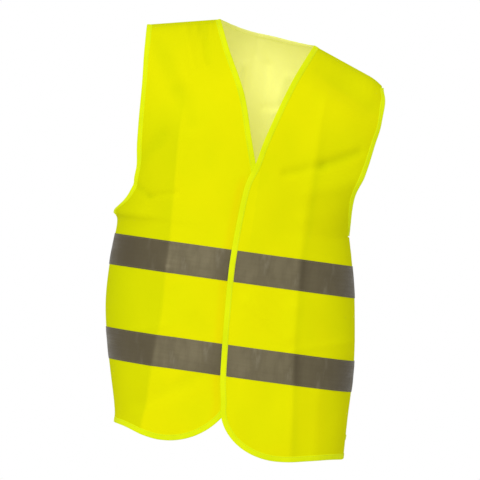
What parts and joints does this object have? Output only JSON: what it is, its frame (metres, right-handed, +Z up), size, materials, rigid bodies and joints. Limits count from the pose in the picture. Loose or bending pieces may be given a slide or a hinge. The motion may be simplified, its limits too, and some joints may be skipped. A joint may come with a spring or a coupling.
{
  "type": "high visibility vest",
  "caption": "Sleeveless V-neck safety vest with overlapping fronts, bound edges and horizontal reflective tapes, standing as worn.",
  "frame": {"origin": "midway between the two neck points of the shoulders, where a wearer or hanger holds the vest", "axes": "+Z up, the front of the vest faces -Y, the wearer's left is +X"},
  "size_m": [0.4199, 0.2665, 0.6894],
  "materials": {
    "cloth": "fluorescent yellow warp knit, matt",
    "binding": "woven polyester edge tape, greener yellow",
    "reflective_tape": "grey glass bead tape, satin",
    "seam": "overlocked seam allowance",
    "hook": "hook tape",
    "loop": "loop tape",
    "label": "satin label, blank"
  },
  "bodies": {
    "vest_body": {"back_panel": "cloth", "left_front_shoulder": "cloth", "right_front_shoulder": "cloth", "back_neck_binding": "binding", "back_hem_binding": "binding", "left_neck_binding": "binding", "left_armhole_shoulder_binding": "binding", "left_armhole_back_binding": "binding", "right_neck_binding": "binding", "right_armhole_shoulder_binding": "binding", "right_armhole_back_binding": "binding", "back_upper_tape": "reflective_tape", "back_lower_tape": "reflective_tape", "left_side_seam": "seam", "left_shoulder_seam": "seam", "right_side_seam": "seam", "right_shoulder_seam": "seam"},
    "left_front": {"left_front_panel": "cloth", "left_front_binding": "binding", "left_armhole_binding": "binding", "left_upper_tape": "reflective_tape", "left_lower_tape": "reflective_tape", "upper_hook_patch": "hook", "lower_hook_patch": "hook"},
    "right_front": {"right_front_panel": "cloth", "right_front_binding": "binding", "right_armhole_binding": "binding", "right_upper_tape": "reflective_tape", "right_lower_tape": "reflective_tape", "upper_loop_patch": "loop", "lower_loop_patch": "loop"},
    "care_label": {"care_label": "label"}
  },
  "joints": [
    {"name": "left_front_open", "type": "hinge", "parent": "vest_body", "child": "left_front", "pos_m": [0.2125, 0, -0.48], "axis": [-0.1191, 0, 0.9929], "range_deg": [0, 45]},
    {"name": "right_front_open", "type": "hinge", "parent": "vest_body", "child": "right_front", "pos_m": [-0.1965, 0, -0.48], "axis": [-0.1191, 0, 0.9929], "range_deg": [-31.5, 0]},
    {"name": "care_label_flip", "type": "hinge", "parent": "vest_body", "child": "care_label", "pos_m": [0.2088, 0.0035, -0.59], "axis": [-0.1191, 0, 0.9929], "range_deg": [0, 50]}
  ],
  "couplings": [
    {"joint": "right_front_open", "follows": "left_front_open", "ratio": -0.7}
  ]
}
